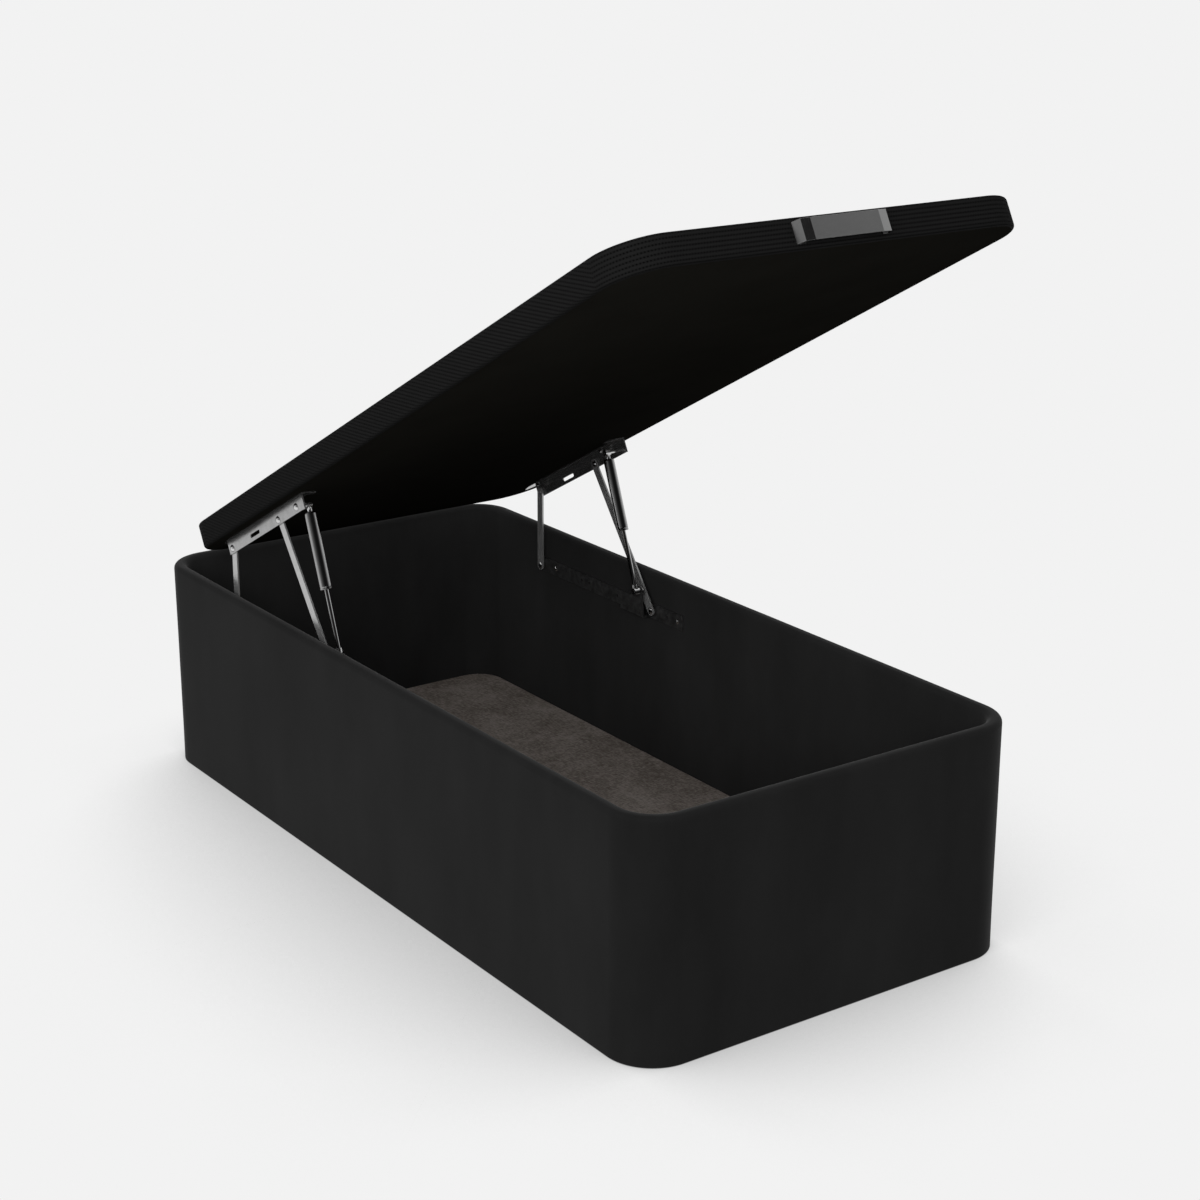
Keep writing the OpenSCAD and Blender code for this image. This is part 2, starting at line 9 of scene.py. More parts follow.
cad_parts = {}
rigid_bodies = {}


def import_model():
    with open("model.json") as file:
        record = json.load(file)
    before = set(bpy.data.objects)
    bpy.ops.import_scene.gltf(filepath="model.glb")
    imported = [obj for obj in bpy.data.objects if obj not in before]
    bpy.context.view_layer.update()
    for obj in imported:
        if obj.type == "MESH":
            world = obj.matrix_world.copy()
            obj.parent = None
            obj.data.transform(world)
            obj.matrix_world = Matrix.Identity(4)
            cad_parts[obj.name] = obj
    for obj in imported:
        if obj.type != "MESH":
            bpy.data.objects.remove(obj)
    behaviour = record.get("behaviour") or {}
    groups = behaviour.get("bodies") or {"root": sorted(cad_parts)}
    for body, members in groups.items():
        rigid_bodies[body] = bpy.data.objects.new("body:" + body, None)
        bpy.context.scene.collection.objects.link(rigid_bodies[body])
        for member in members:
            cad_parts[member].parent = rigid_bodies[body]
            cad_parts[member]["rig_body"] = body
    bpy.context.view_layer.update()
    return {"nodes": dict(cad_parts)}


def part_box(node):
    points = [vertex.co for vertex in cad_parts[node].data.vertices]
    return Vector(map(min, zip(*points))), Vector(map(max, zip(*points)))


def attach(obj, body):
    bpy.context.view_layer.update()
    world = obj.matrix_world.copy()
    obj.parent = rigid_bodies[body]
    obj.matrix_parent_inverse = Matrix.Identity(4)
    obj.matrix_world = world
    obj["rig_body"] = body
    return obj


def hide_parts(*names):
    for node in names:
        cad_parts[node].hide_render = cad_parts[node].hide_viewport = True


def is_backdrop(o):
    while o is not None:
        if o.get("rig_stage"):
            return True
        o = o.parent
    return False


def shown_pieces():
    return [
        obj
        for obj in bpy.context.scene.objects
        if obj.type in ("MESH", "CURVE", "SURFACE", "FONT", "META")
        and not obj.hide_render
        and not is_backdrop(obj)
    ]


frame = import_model()
nodes = frame["nodes"]
print("frame loaded with", len(nodes), "nodes")

# Camera, at the photo's angle
viewSettings = {
    "place": (-2.5846, -3.8847, 2.0622), "turn": (72.0, 0.0, -35.06),
    "lens": 70.0, "sensor": 36.0, "shiftX": -0.00287, "farEnd": 200.0,
}
cameraData = bpy.data.cameras.new("bedCamera")
camera = bpy.data.objects.new("bedCamera", cameraData)
bpy.context.scene.collection.objects.link(camera)
camera.location = viewSettings["place"]
camera.rotation_euler = [math.radians(a) for a in viewSettings["turn"]]
cameraData.lens = viewSettings["lens"]
cameraData.sensor_width = viewSettings["sensor"]
cameraData.shift_x = viewSettings["shiftX"]
cameraData.clip_end = viewSettings["farEnd"]
bpy.context.scene.camera = camera
bpy.context.scene.view_settings.view_transform = "Standard"
print("camera placed")


# Small helpers for node trees
def nodeOfType(tree, kind):
    return next(n for n in tree.nodes if n.type == kind)


def newMaterial(name):
    material = bpy.data.materials.new(name)
    material.use_nodes = True
    tree = material.node_tree
    return material, tree, nodeOfType(tree, "BSDF_PRINCIPLED")


def feed(tree, node, sockets):
    # Each socket takes a constant or another node's output
    for key, value in sockets.items():
        if isinstance(value, bpy.types.NodeSocket):
            tree.links.new(value, node.inputs[key])
        else:
            node.inputs[key].default_value = value
    return node


def addNode(tree, kind, sockets):
    return feed(tree, tree.nodes.new(kind), sockets)


def calc(tree, operation, *values, clamp=False):
    node = tree.nodes.new("ShaderNodeMath")
    node.operation = operation
    node.use_clamp = clamp
    return feed(tree, node, dict(enumerate(values))).outputs[0]


def mixOf(tree, *terms):
    # Sum of outputs, each times its own share
    total = None
    for value, share in terms:
        part = calc(tree, "MULTIPLY", value, share)
        total = part if total is None else calc(tree, "ADD", total, part)
    return total


def productOf(tree, first, *others):
    for other in others:
        first = calc(tree, "MULTIPLY", first, other)
    return first


def lengthOf(tree, a, b):
    squares = calc(tree, "ADD", calc(tree, "MULTIPLY", a, a), calc(tree, "MULTIPLY", b, b))
    return calc(tree, "SQRT", squares)


def coordinates(tree, stretch=(1, 1, 1), turn=(0, 0, 0)):
    place = tree.nodes.new("ShaderNodeTexCoord").outputs["Object"]
    mapping = addNode(tree, "ShaderNodeMapping", {"Vector": place, "Scale": stretch, "Rotation": turn})
    return mapping.outputs["Vector"]


def separate(tree, vector):
    return addNode(tree, "ShaderNodeSeparateXYZ", {"Vector": vector}).outputs


def noiseFrom(tree, scale, detail, roughness, stretch=(1, 1, 1)):
    texture = addNode(tree, "ShaderNodeTexNoise", {
        "Vector": coordinates(tree, stretch), "Scale": scale, "Detail": detail, "Roughness": roughness})
    return texture.outputs["Fac"]


def cellsFrom(tree, scale, randomness=1.0):
    texture = addNode(tree, "ShaderNodeTexVoronoi", {
        "Vector": coordinates(tree), "Scale": scale, "Randomness": randomness})
    return texture.outputs["Distance"]


def rampFrom(tree, level, stops):
    ramp = addNode(tree, "ShaderNodeValToRGB", {"Fac": level})
    elements = ramp.color_ramp.elements
    while len(elements) < len(stops):
        elements.new(0.5)
    for element, (position, colour) in zip(elements, stops):
        element.position = position
        element.color = (*colour, 1.0)
    return ramp.outputs["Color"]


def bumpFrom(tree, height, strength, distance):
    bump = addNode(tree, "ShaderNodeBump", {"Height": height, "Strength": strength, "Distance": distance})
    return bump.outputs["Normal"]


def grey(level):
    return (level, level, level)


# Black suede-like cloth of the box, short-napped, with soft clouds where it lies another way.
# Its inner walls are painted lighter, by a set share more of the tone, from innerStart below the outer faces over
# innerSpan: painted light standing in for light that reaches into the box.
suedeSettings = {
    "dark": 0.0082, "light": 0.0132, "levels": (0.34, 0.64),
    "cloudScale": 4.2, "cloudStretch": (1.0, 1.0, 0.55), "cloudShare": 0.62,
    "streakScale": 16.0, "streakStretch": (1.0, 1.0, 0.3), "streakShare": 0.23,
    "pileScale": 900.0, "pileShare": 0.15, "weaveScale": 1400.0, "pileHeight": 0.6, "weaveHeight": 0.4,
    "roughness": 0.86, "pileRoughness": 0.1, "specular": 0.06, "sheen": 0.085, "sheenRoughness": 0.40,
    "bump": 0.35, "bumpReach": 0.0003,
    "outerHalf": (0.45, 0.9525), "outerRadius": 0.0985, "innerStart": 0.020, "innerSpan": 0.009, "innerPaintedLight": 0.35,
}


def insideShare(tree):
    # How far a point lies inside the walls: 0 on the outer faces and the rim, 1 on the inner faces. It masks the
    # painted light on the inner walls.
    s = suedeSettings
    place = separate(tree, coordinates(tree))
    over = []
    for axis, half in zip("XY", s["outerHalf"]):
        away = calc(tree, "SUBTRACT", calc(tree, "ABSOLUTE", place[axis]), half - s["outerRadius"])
        over.append(calc(tree, "MAXIMUM", away, 0.0))
    depth = calc(tree, "SUBTRACT", s["outerRadius"], lengthOf(tree, *over))
    return calc(tree, "DIVIDE", calc(tree, "SUBTRACT", depth, s["innerStart"]), s["innerSpan"], clamp=True)


def makeSuede():
    s = suedeSettings
    material, tree, shader = newMaterial("blackSuede")
    clouds = noiseFrom(tree, s["cloudScale"], 4.0, 0.5, s["cloudStretch"])
    streaks = noiseFrom(tree, s["streakScale"], 3.0, 0.6, s["streakStretch"])
    pile = noiseFrom(tree, s["pileScale"], 2.0, 0.7)
    level = mixOf(tree, (clouds, s["cloudShare"]), (streaks, s["streakShare"]), (pile, s["pileShare"]))
    tones = rampFrom(tree, level, list(zip(s["levels"], (grey(s["dark"]), grey(s["light"])))))
    # painted light: the inner walls take a lighter tone than the outer faces
    paintedInnerLight = calc(tree, "MULTIPLY_ADD", insideShare(tree), s["innerPaintedLight"], 1.0)
    tonesAndPaintedLight = tree.nodes.new("ShaderNodeVectorMath")
    tonesAndPaintedLight.operation = "SCALE"
    feed(tree, tonesAndPaintedLight, {0: tones, "Scale": paintedInnerLight})
    height = mixOf(tree, (pile, s["pileHeight"]), (cellsFrom(tree, s["weaveScale"]), s["weaveHeight"]))
    feed(tree, shader, {
        "Base Color": tonesAndPaintedLight.outputs[0], "Specular IOR Level": s["specular"],
        "Roughness": calc(tree, "MULTIPLY_ADD", pile, s["pileRoughness"], s["roughness"]),
        "Sheen Weight": s["sheen"], "Sheen Roughness": s["sheenRoughness"],
        "Normal": bumpFrom(tree, height, s["bump"], s["bumpReach"])})
    return material


# Knitted spacer mesh of the platform: furrows with rows of small holes, on the piece's own map in metres. The holes and
# the furrows are bumped and also painted darker, as painted shade in the hollows.
# The slant is how far the rows climb along the two long sides.
meshSettings = {
    "column": 0.0060, "row": 0.0079, "hole": 0.0013, "holeFrom": 0.55, "holeSpan": 0.9, "slant": 0.468,
    "rib": 0.0015, "loop": 0.0011, "knitDepth": 0.12, "furrowDipAndShade": 0.18,
    "fibreScale": 420.0, "fibreGain": 0.35, "fibreLevel": 0.82,
    "holePaintedShade": 0.0010, "ground": 0.0112, "levels": (0.0, 0.95),
    "roughness": 0.82, "specular": 0.02, "bump": 0.6, "bumpReach": 0.0008,
}


def fromCellMiddle(tree, place, size):
    return calc(tree, "MULTIPLY", calc(tree, "SUBTRACT", calc(tree, "FRACT", place), 0.5), size)


def waveOf(tree, kind, place, period):
    return calc(tree, kind, calc(tree, "MULTIPLY", place, 2 * math.pi / period))


def makeMeshCloth():
    s = meshSettings
    material, tree, shader = newMaterial("spacerMesh")
    place = separate(tree, tree.nodes.new("ShaderNodeTexCoord").outputs["UV"])
    u, v = place["X"], place["Y"]
    rowPlace = calc(tree, "DIVIDE", v, s["row"])
    # Every second row stands half a column aside
    shift = calc(tree, "MULTIPLY", calc(tree, "MODULO", calc(tree, "FLOOR", rowPlace), 2.0), 0.5)
    columnPlace = calc(tree, "ADD", calc(tree, "DIVIDE", u, s["column"]), shift)
    distance = lengthOf(tree, fromCellMiddle(tree, columnPlace, s["column"]), fromCellMiddle(tree, rowPlace, s["row"]))
    beyond = calc(tree, "SUBTRACT", distance, s["hole"] * s["holeFrom"])
    edge = calc(tree, "DIVIDE", beyond, s["hole"] * s["holeSpan"], clamp=True)
    weave = calc(tree, "MULTIPLY", waveOf(tree, "SINE", u, s["rib"]), waveOf(tree, "SINE", v, s["loop"]))
    knit = calc(tree, "MULTIPLY_ADD", weave, s["knitDepth"], 1.0 - s["knitDepth"])
    fibre = noiseFrom(tree, s["fibreScale"], 2.0, 0.6)
    fibreLevel = calc(tree, "MULTIPLY_ADD", fibre, s["fibreGain"], s["fibreLevel"])
    # painted shade: each furrow darkens the colour as well as shaping the bump
    furrowDipAndShade = calc(tree, "MULTIPLY_ADD", waveOf(tree, "COSINE", rowPlace, 1.0), s["furrowDipAndShade"], 1.0 - s["furrowDipAndShade"])
    level = productOf(tree, edge, knit, fibreLevel, furrowDipAndShade)
    # painted shade: the holes take a near-black tone
    tones = rampFrom(tree, level, list(zip(s["levels"], (grey(s["holePaintedShade"]), grey(s["ground"])))))
    height = productOf(tree, edge, knit, furrowDipAndShade)
    feed(tree, shader, {
        "Base Color": tones, "Roughness": s["roughness"], "Specular IOR Level": s["specular"],
        "Normal": bumpFrom(tree, height, s["bump"], s["bumpReach"])})
    return material


# Black spunbond under the platform, a little warm
undersideSettings = {
    "dark": 0.0110, "light": 0.0140, "levels": (0.35, 0.65), "tint": (1.05, 1.0, 0.85),
    "fibreScale": 260.0, "fibreShare": 0.6, "cloudScale": 7.0, "cloudShare": 0.4,
    "gridScale": 600.0, "gridRandomness": 0.15, "roughness": 0.9, "bump": 0.3, "bumpReach": 0.0002,
}


def makeSpunbond():
    s = undersideSettings
    material, tree, shader = newMaterial("blackSpunbond")
    fibre = noiseFrom(tree, s["fibreScale"], 4.0, 0.7)
    clouds = noiseFrom(tree, s["cloudScale"], 3.0, 0.5)
    level = mixOf(tree, (fibre, s["fibreShare"]), (clouds, s["cloudShare"]))
    colours = [tuple(tone * part for part in s["tint"]) for tone in (s["dark"], s["light"])]
    grid = cellsFrom(tree, s["gridScale"], s["gridRandomness"])
    feed(tree, shader, {
        "Base Color": rampFrom(tree, level, list(zip(s["levels"], colours))),
        "Roughness": s["roughness"], "Specular IOR Level": 0.0,
        "Normal": bumpFrom(tree, grid, s["bump"], s["bumpReach"])})
    return material


# Storage floor: a warm grey board with a linen-look print
floorSettings = {
    "dark": (0.112, 0.092, 0.078), "light": (0.306, 0.272, 0.247), "levels": (0.425, 0.575),
    "threadScale": 420.0, "threadShare": 0.27, "warpStretch": (1.0, 0.09, 1.0), "weftStretch": (0.09, 1.0, 1.0),
    "speckleScale": 170.0, "speckleShare": 0.28, "cloudScale": 13.0, "cloudShare": 0.18,
    "roughness": 0.7, "specular": 0.3, "bump": 0.25, "bumpReach": 0.0003,
}


def makeLinenBoard():
    s = floorSettings
    material, tree, shader = newMaterial("linenBoard")
    warp = noiseFrom(tree, s["threadScale"], 3.0, 0.6, s["warpStretch"])
    weft = noiseFrom(tree, s["threadScale"], 3.0, 0.6, s["weftStretch"])
    speckle = noiseFrom(tree, s["speckleScale"], 3.0, 0.6)
    clouds = noiseFrom(tree, s["cloudScale"], 3.0, 0.5)
    threads = mixOf(tree, (warp, s["threadShare"]), (weft, s["threadShare"]))
    blotches = mixOf(tree, (speckle, s["speckleShare"]), (clouds, s["cloudShare"]))
    stops = list(zip(s["levels"], (s["dark"], s["light"])))
    feed(tree, shader, {
        "Base Color": rampFrom(tree, calc(tree, "ADD", threads, blotches), stops),
        "Roughness": s["roughness"], "Specular IOR Level": s["specular"],
        "Normal": bumpFrom(tree, threads, s["bump"], s["bumpReach"])})
    return material


# Metals share one recipe: a base tone, its roughness and how the surface is worked
metalSettings = {
    "satinSteel": {"tone": 0.36, "roughness": 0.22, "streak": (1.0, 0.12, 0.12), "scale": 500.0, "contrast": 0.03,
                   "metal": 0.92},
    "barSteel": {"tone": 0.46, "roughness": 0.24, "streak": (1.0, 0.12, 0.12), "scale": 500.0, "contrast": 0.04,
                 "metal": 0.76},
    "darkSteel": {"tone": 0.092, "roughness": 0.34, "streak": (1.0, 0.3, 0.3), "scale": 240.0, "contrast": 0.045,
                  "metal": 0.8},
    "brightSteel": {"tone": 0.72, "roughness": 0.14, "scale": 240.0, "contrast": 0.05},
    "polishedSteel": {"tone": 0.42, "roughness": 0.13, "streak": (0.06, 1.0, 1.0), "scale": 900.0, "contrast": 0.015,
                      "bump": 0.02},
    "rodChrome": {"tone": 0.46, "roughness": 0.05, "scale": 500.0, "contrast": 0.02, "bump": 0.02},
    "domeSteel": {"tone": 0.66, "roughness": 0.06, "scale": 240.0, "contrast": 0.03, "bump": 0.02},
    "strutPaint": {"tone": 0.34, "roughness": 0.13, "streak": (1.0, 1.0, 0.2), "scale": 220.0, "contrast": 0.02,
                   "bump": 0.02},
    "zincSteel": {"tone": 0.62, "roughness": 0.24, "scale": 420.0, "contrast": 0.05},
}
workedSettings = {
    "share": 0.6, "patchScale": 35.0, "patchShare": 0.4, "levels": (0.35, 0.65),
    "roughnessSpan": 0.5, "roughnessFloor": 0.75, "bumpReach": 0.0002,
}


def makeMetal(name, tone, roughness, scale, contrast, streak=(1, 1, 1), bump=0.05, metal=1.0):
    s = workedSettings
    material, tree, shader = newMaterial(name)
    worked = noiseFrom(tree, scale, 3.0, 0.6, streak)
    patches = noiseFrom(tree, s["patchScale"], 3.0, 0.6)
    level = mixOf(tree, (worked, s["share"]), (patches, s["patchShare"]))
    rough = calc(tree, "MULTIPLY_ADD", patches, roughness * s["roughnessSpan"], roughness * s["roughnessFloor"])
    stops = list(zip(s["levels"], (grey(tone - contrast), grey(tone + contrast))))
    feed(tree, shader, {
        "Base Color": rampFrom(tree, level, stops), "Metallic": metal, "Roughness": rough,
        "Normal": bumpFrom(tree, worked, bump, s["bumpReach"])})
    return material


# Moulded plastic of the pads under the walls
padSettings = {
    "dark": 0.0935, "light": 0.1265, "levels": (0.35, 0.65), "patchScale": 30.0, "grainScale": 700.0,
    "roughness": 0.48, "grainRoughness": 0.15, "bump": 0.15, "bumpReach": 0.0002,
}


def makePlastic():
    s = padSettings
    material, tree, shader = newMaterial("greyPlastic")
    grain = noiseFrom(tree, s["grainScale"], 2.0, 0.6)
    patches = noiseFrom(tree, s["patchScale"], 3.0, 0.6)
    feed(tree, shader, {
        "Base Color": rampFrom(tree, patches, list(zip(s["levels"], (grey(s["dark"]), grey(s["light"]))))),
        "Roughness": calc(tree, "MULTIPLY_ADD", grain, s["grainRoughness"], s["roughness"]),
        "Normal": bumpFrom(tree, grain, s["bump"], s["bumpReach"])})
    return material


# Pine of the boards and bars, its grain along the length
pineSettings = {
    "stops": [(0.25, (0.36, 0.21, 0.10)), (0.6, (0.55, 0.37, 0.20)), (0.85, (0.66, 0.48, 0.29))],
    "grainScale": 60.0, "ringScale": 18.0, "ringDistortion": 6.0, "ringDetail": 3.0,
    "roughness": 0.6, "bump": 0.2, "bumpReach": 0.0003,
}


def makePine(name, stretch):
    s = pineSettings
    material, tree, shader = newMaterial(name)
    grain = noiseFrom(tree, s["grainScale"], 5.0, 0.6, stretch)
    rings = addNode(tree, "ShaderNodeTexWave", {
        "Vector": coordinates(tree, stretch), "Scale": s["ringScale"], "Distortion": s["ringDistortion"],
        "Detail": s["ringDetail"]})
    level = mixOf(tree, (grain, 0.5), (rings.outputs["Fac"], 0.5))
    feed(tree, shader, {
        "Base Color": rampFrom(tree, level, s["stops"]), "Roughness": s["roughness"],
        "Normal": bumpFrom(tree, grain, s["bump"], s["bumpReach"])})
    return material


suede = makeSuede()
meshCloth = makeMeshCloth()
spunbond = makeSpunbond()
linenBoard = makeLinenBoard()
metals = {name: makeMetal(name, **values) for name, values in metalSettings.items()}
greyPlastic = makePlastic()
pineLong = makePine("pineLong", (6.0, 0.5, 6.0))
pineCross = makePine("pineCross", (0.5, 6.0, 6.0))
print("materials made")


# Helpers for meshes
def addObject(bm, name, material):
    mesh = bpy.data.meshes.new(name)
    bm.to_mesh(mesh)
    bm.free()
    added = bpy.data.objects.new(name, mesh)
    bpy.context.scene.collection.objects.link(added)
    mesh.materials.append(material)
    return added


def finishPiece(bm, name, material, body, replaced, sharpAngle):
    piece = addObject(bm, name, material)
    piece.data.shade_smooth()
    piece.data.set_sharp_from_angle(angle=math.radians(sharpAngle))
    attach(piece, body)
    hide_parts(*replaced)
    return piece


def roundEdges(bm, edges, width, segments, clamp=False):
    bmesh.ops.bevel(bm, geom=edges, offset=width, offset_type="OFFSET", affect="EDGES",
                    segments=segments, profile=0.5, material=-1, clamp_overlap=clamp)


def roundedBlock(size, cornerRadius, segments):
    bm = bmesh.new()
    bmesh.ops.create_cube(bm, size=1.0)
    bmesh.ops.scale(bm, vec=size, verts=bm.verts)
    uprights = [e for e in bm.edges if abs(e.verts[0].co.z - e.verts[1].co.z) > size[2] * 0.5]
    roundEdges(bm, uprights, cornerRadius, segments)
    return bm


def atLevel(element, z):
    return all(abs(v.co.z - z) < 1e-5 for v in element.verts)


def facesAt(bm, z):
    return [f for f in bm.faces if atLevel(f, z)]


def edgesAt(bm, z):
    return [e for e in bm.edges if atLevel(e, z)]


def meetsUpright(edge):
    return any(abs(f.normal.z) < 0.5 for f in edge.link_faces)


def sliceGrid(bm, axis, low, high, step):
    normal = [0.0, 0.0, 0.0]
    normal[axis] = 1.0
    count = max(1, round((high - low) / step))
    for k in range(1, count):
        point = [0.0, 0.0, 0.0]
        point[axis] = low + (high - low) * k / count
        geom = bm.verts[:] + bm.edges[:] + bm.faces[:]
        bmesh.ops.bisect_plane(bm, geom=geom, dist=1e-6, plane_co=point, plane_no=normal)


# Box: cloth and foam over the walls, open below where the boards stand.
# The faces lie slack by less than a millimetre here and there, always inward.
boxSettings = {
    "cornerRadius": 0.0985, "wall": 0.030, "rimRadius": 0.012, "padding": 0.006,
    "corners": 20, "rimSteps": 6, "cell": 0.075,
    "slack": 0.0009, "slackScale": 3.1, "fineScale": 7.7, "fineShift": (3, 1, 2), "fineShare": 0.25, "heldBelow": 0.001,
}


def slackAt(place):
    s = boxSettings
    fine = noise.noise(place * s["fineScale"] + Vector(s["fineShift"]))
    drift = 0.5 + 0.5 * noise.noise(place * s["slackScale"]) + s["fineShare"] * fine
    return s["slack"] * max(0.0, min(1.0, drift))


def makeBoxUpholstery():
    s = boxSettings
    low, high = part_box("base_cover")
    size = (high.x - low.x, high.y - low.y, high.z - low.z)
    bm = roundedBlock(size, s["cornerRadius"], s["corners"])
    bmesh.ops.translate(bm, vec=(0, 0, low.z + size[2] / 2), verts=bm.verts)
    top, bottom = facesAt(bm, high.z), facesAt(bm, low.z)
    bmesh.ops.inset_region(bm, faces=top, thickness=s["wall"], use_even_offset=True)
    innerEdges = list(top[0].edges)
    bmesh.ops.delete(bm, geom=top + bottom, context="FACES_ONLY")
    walls = bmesh.ops.extrude_edge_only(bm, edges=innerEdges)
    inner = [v for v in walls["geom"] if isinstance(v, bmesh.types.BMVert)]
    bmesh.ops.translate(bm, vec=(0, 0, low.z - high.z), verts=inner)
    bmesh.ops.recalc_face_normals(bm, faces=bm.faces)
    roundEdges(bm, [e for e in edgesAt(bm, high.z) if meetsUpright(e)], s["rimRadius"], s["rimSteps"])
    sliceGrid(bm, 0, low.x + s["cornerRadius"], high.x - s["cornerRadius"], s["cell"])
    sliceGrid(bm, 1, low.y + s["cornerRadius"], high.y - s["cornerRadius"], s["cell"])
    sliceGrid(bm, 2, low.z, high.z - s["rimRadius"], s["cell"])
    bm.normal_update()
    moves = [(v, -v.normal * slackAt(v.co)) for v in bm.verts if v.co.z >= low.z + s["heldBelow"]]
    for v, move in moves:
        v.co += move
    bmesh.ops.solidify(bm, geom=bm.faces[:], thickness=s["padding"])
    piece = finishPiece(bm, "boxUpholstery", suede, "base", ["base_cover", "base_foam"], 60.0)
    return piece


makeBoxUpholstery()
print("box upholstery made")


# Platform: its pieces are made level round the middle of its underside, then set at its tilt
platformSettings = {
    "width": 0.9, "length": 1.905, "thick": 0.058, "cornerRadius": 0.0985, "corners": 20,
    "tilt": 27.8, "headY": 0.7742, "headZ": 0.5298,
    "edgeRadius": 0.007, "edgeSteps": 5, "hem": 0.014, "cloth": 0.0025, "cell": 0.09,
}
topSettings = {
    "gap": 0.0003, "below": 0.0455, "rimRadius": 0.003, "rimSteps": 3, "cell": 0.045,
    "crown": 0.0035, "crownAcross": 6, "crownAlong": 8, "wander": 0.0006, "wanderScale": 4.0,
    "surfaceBand": 0.0005, "seamDip": 0.0012, "seamBand": 0.004,
}
undersideShape = {"gap": 0.0005, "thick": 0.0028, "rimRadius": 0.0006, "rimSteps": 2}
platformPlace = (Matrix.Translation((0, platformSettings["headY"], platformSettings["headZ"]))
                 @ Matrix.Rotation(math.radians(-platformSettings["tilt"]), 4, "X")
                 @ Matrix.Translation((0, -platformSettings["length"] / 2, 0)))


def outlinePlace(x, y, halfX, halfY, radius):
    # Distance along a rounded outline, from the middle of its head end, clockwise seen from above
    straightX, straightY = halfX - radius, halfY - radius
    quarter = math.pi / 2 * radius
    side = 2 * straightY
    if abs(x) <= straightX + 1e-6:
        along = abs(x) if y > 0 else straightX + quarter + side + quarter + (straightX - abs(x))
    elif abs(y) <= straightY + 1e-6:
        along = straightX + quarter + (straightY - y)
    else:
        turn = math.atan2(abs(x) - straightX, abs(y) - straightY) * radius
        along = straightX + turn if y > 0 else straightX + quarter + side + (quarter - turn)
    return along if x >= 0 else -along


def layMap(bm, halfX, halfY, radius, thick):
    # Across the band the map runs with the height, and over the hems with the way inward
    layer = bm.loops.layers.uv.new("ClothMap")
    for face in bm.faces:
        centre = face.calc_center_median()
        for loop in face.loops:
            x, y, z = loop.vert.co
            along = outlinePlace(x, y, halfX, halfY, radius)
            if abs(x) < 1e-5 and centre.x < 0:
                along = -abs(along)
            inward = max(0.0, min(halfX - abs(x), halfY - abs(y)))
            if abs(x) > halfX - radius and abs(y) > halfY - radius:
                inward = max(0.0, radius - math.hypot(abs(x) - halfX + radius, abs(y) - halfY + radius))
            over = inward if z > thick / 2 else -inward
            climb = meshSettings["slant"] * max(radius - halfY, min(halfY - radius, y))
            loop[layer].uv = (along, z + over - climb)


def makePlatformBorder():
    s = platformSettings
    bm = roundedBlock((s["width"], s["length"], s["thick"]), s["cornerRadius"], s["corners"])
    bmesh.ops.translate(bm, vec=(0, 0, s["thick"] / 2), verts=bm.verts)
    top, bottom = facesAt(bm, s["thick"]), facesAt(bm, 0.0)
    bmesh.ops.inset_region(bm, faces=top, thickness=s["hem"], use_even_offset=True)
    bmesh.ops.inset_region(bm, faces=bottom, thickness=s["edgeRadius"] + 0.0002, use_even_offset=True)
    bmesh.ops.delete(bm, geom=top + bottom, context="FACES")
    level = [e for e in bm.edges if not e.is_boundary and abs(e.verts[0].co.z - e.verts[1].co.z) < 1e-6]
    roundEdges(bm, [e for e in level if meetsUpright(e)], s["edgeRadius"], s["edgeSteps"])
    sliceGrid(bm, 0, -s["width"] / 2 + s["cornerRadius"], s["width"] / 2 - s["cornerRadius"], s["cell"])
    sliceGrid(bm, 1, -s["length"] / 2 + s["cornerRadius"], s["length"] / 2 - s["cornerRadius"], s["cell"])
    bm.normal_update()
    layMap(bm, s["width"] / 2, s["length"] / 2, s["cornerRadius"], s["thick"])
    bmesh.ops.solidify(bm, geom=bm.faces[:], thickness=s["cloth"])
    bmesh.ops.transform(bm, matrix=platformPlace, verts=bm.verts)
    piece = finishPiece(bm, "platformBorder", meshCloth, "lid", ["lid_border"], 50.0)
    return piece


def makePlatformTop():
    s, t = platformSettings, topSettings
    inset = s["hem"] + t["gap"]
    depth = s["thick"] - t["below"]
    halfX, halfY, radius = s["width"] / 2 - inset, s["length"] / 2 - inset, s["cornerRadius"] - inset
    bm = roundedBlock((2 * halfX, 2 * halfY, depth), radius, s["corners"])
    bmesh.ops.translate(bm, vec=(0, 0, s["thick"] - depth / 2), verts=bm.verts)
    roundEdges(bm, edgesAt(bm, s["thick"]), t["rimRadius"], t["rimSteps"])
    sliceGrid(bm, 0, -halfX, halfX, t["cell"])
    sliceGrid(bm, 1, -halfY, halfY, t["cell"])
    layer = bm.loops.layers.uv.new("ClothMap")
    for face in bm.faces:
        for loop in face.loops:
            loop[layer].uv = (loop.vert.co.x, loop.vert.co.y)
    for v in bm.verts:
        if v.co.z > s["thick"] - t["surfaceBand"]:
            swell = (1 - (v.co.x / halfX) ** t["crownAcross"]) * (1 - (v.co.y / halfY) ** t["crownAlong"])
            v.co.z += t["crown"] * swell + t["wander"] * noise.noise(v.co * t["wanderScale"])
        if v.co.z > s["thick"] - t["seamBand"]:
            v.co.z -= t["seamDip"]
    bm.normal_update()
    bmesh.ops.transform(bm, matrix=platformPlace, verts=bm.verts)
    piece = finishPiece(bm, "platformTop", meshCloth, "lid", ["lid_top", "lid_foam"], 60.0)
    return piece


